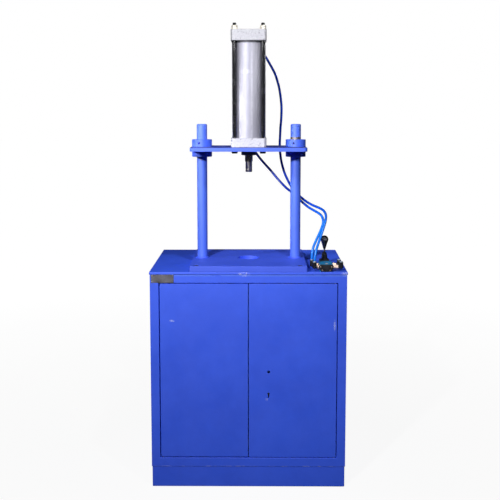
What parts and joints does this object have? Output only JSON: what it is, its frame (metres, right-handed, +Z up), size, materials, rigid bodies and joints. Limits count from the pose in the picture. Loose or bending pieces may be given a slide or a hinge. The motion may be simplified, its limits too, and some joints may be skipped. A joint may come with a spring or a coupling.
{
  "type": "pneumatic press",
  "caption": "Pneumatic press: an air cylinder on a bridge between round columns, over a bored base plate on a steel cabinet with doors, worked by a hand lever valve through blue air tubes.",
  "frame": {"origin": "centre of the cabinet's footprint, on the floor", "axes": "+Z up along the press axis, -Y towards the operator and the doors, +X to the operator's right"},
  "size_m": [0.61, 0.457, 1.4475],
  "materials": {
    "cabinet_paint": "satin enamel",
    "frame_paint": "satin enamel",
    "black_steel": "oiled black",
    "teal_paint": "gloss",
    "zinc_steel": "zinc plated",
    "bare_steel": "turned",
    "hard_chrome": "polished",
    "cast_alloy": "cast, silver painted",
    "drawn_alloy": "drawn, satin",
    "brass": "turned",
    "bronze": "turned",
    "black_rubber": "matt",
    "black_plastic": "gloss",
    "blue_tube": "gloss",
    "grey_plastic": "gloss"
  },
  "bodies": {
    "bench": {"plinth": "cabinet_paint", "floor_panel": "cabinet_paint", "left_side_panel": "cabinet_paint", "right_side_panel": "cabinet_paint", "back_panel": "cabinet_paint", "front_frame": "cabinet_paint", "cabinet_top": "cabinet_paint", "left_bearer": "cabinet_paint", "right_bearer": "cabinet_paint", "door_pivot_pins": "zinc_steel", "nameplate": "bare_steel", "nameplate_rivets": "zinc_steel", "base_plate": "frame_paint", "base_bolts": "black_steel", "base_washers": "zinc_steel", "base_nuts": "zinc_steel", "left_column": "frame_paint", "right_column": "frame_paint", "column_welds": "frame_paint", "upper_air_tube": "blue_tube", "lower_air_tube": "blue_tube", "valve_body": "teal_paint", "valve_end_plate": "black_steel", "end_plate_screws": "brass", "lever_housing": "black_steel", "lever_pin": "zinc_steel", "lever_boot": "black_rubber", "valve_screws": "zinc_steel", "valve_elbows": "black_plastic", "valve_nipples": "brass", "valve_collets": "grey_plastic"},
    "bridge": {"bridge_plate": "frame_paint", "left_clamp_collar": "frame_paint", "right_clamp_collar": "frame_paint", "left_guide_collar": "frame_paint", "right_guide_collar": "frame_paint", "collar_screws": "black_steel", "top_cap": "cast_alloy", "bottom_cap": "cast_alloy", "barrel": "drawn_alloy", "tie_rods": "black_steel", "tie_rod_nuts": "brass", "mount_bolts": "black_steel", "mount_washers": "zinc_steel", "rod_bush": "bronze", "rod_seal": "black_rubber", "cap_seals": "black_rubber", "upper_port_elbow": "black_plastic", "lower_port_fitting": "black_plastic"},
    "ram": {"piston": "drawn_alloy", "piston_rod": "hard_chrome", "piston_nut": "zinc_steel", "piston_seals": "black_rubber"},
    "left_leaf": {"left_door": "cabinet_paint"},
    "right_leaf": {"right_door": "cabinet_paint", "lock_case": "zinc_steel"},
    "lock": {"lock_bolt": "brass"},
    "lever_arm": {"lever": "hard_chrome", "lever_knob": "black_plastic"},
    "valve_spool": {"spool": "drawn_alloy"}
  },
  "joints": [
    {"name": "bridge_slide", "type": "slide", "parent": "bench", "child": "bridge", "axis": [0, 0, 1], "range_m": [-0.025, 0.045], "deforming": ["upper_air_tube", "lower_air_tube"]},
    {"name": "ram_slide", "type": "slide", "parent": "bridge", "child": "ram", "axis": [0, 0, -1], "range_m": [0, 0.25]},
    {"name": "left_door_hinge", "type": "hinge", "parent": "bench", "child": "left_leaf", "pos_m": [-0.2675, -0.2215, 0.372], "axis": [0, 0, -1], "range_deg": [0, 110]},
    {"name": "right_door_hinge", "type": "hinge", "parent": "bench", "child": "right_leaf", "pos_m": [0.2675, -0.2215, 0.372], "axis": [0, 0, 1], "range_deg": [0, 110]},
    {"name": "lock_slide", "type": "slide", "parent": "right_leaf", "child": "lock", "axis": [-1, 0, 0], "range_m": [0, 0.012]},
    {"name": "lever_tilt", "type": "hinge", "parent": "bench", "child": "lever_arm", "pos_m": [0.239, -0.133, 0.705], "axis": [1, 0, 0], "range_deg": [-15, 15], "deforming": ["lever_boot"]},
    {"name": "spool_slide", "type": "slide", "parent": "bench", "child": "valve_spool", "axis": [0, 1, 0], "range_m": [-0.003, 0.003]}
  ],
  "couplings": [
    {"joint": "spool_slide", "follows": "lever_tilt", "m_per_rad": 0.011}
  ]
}
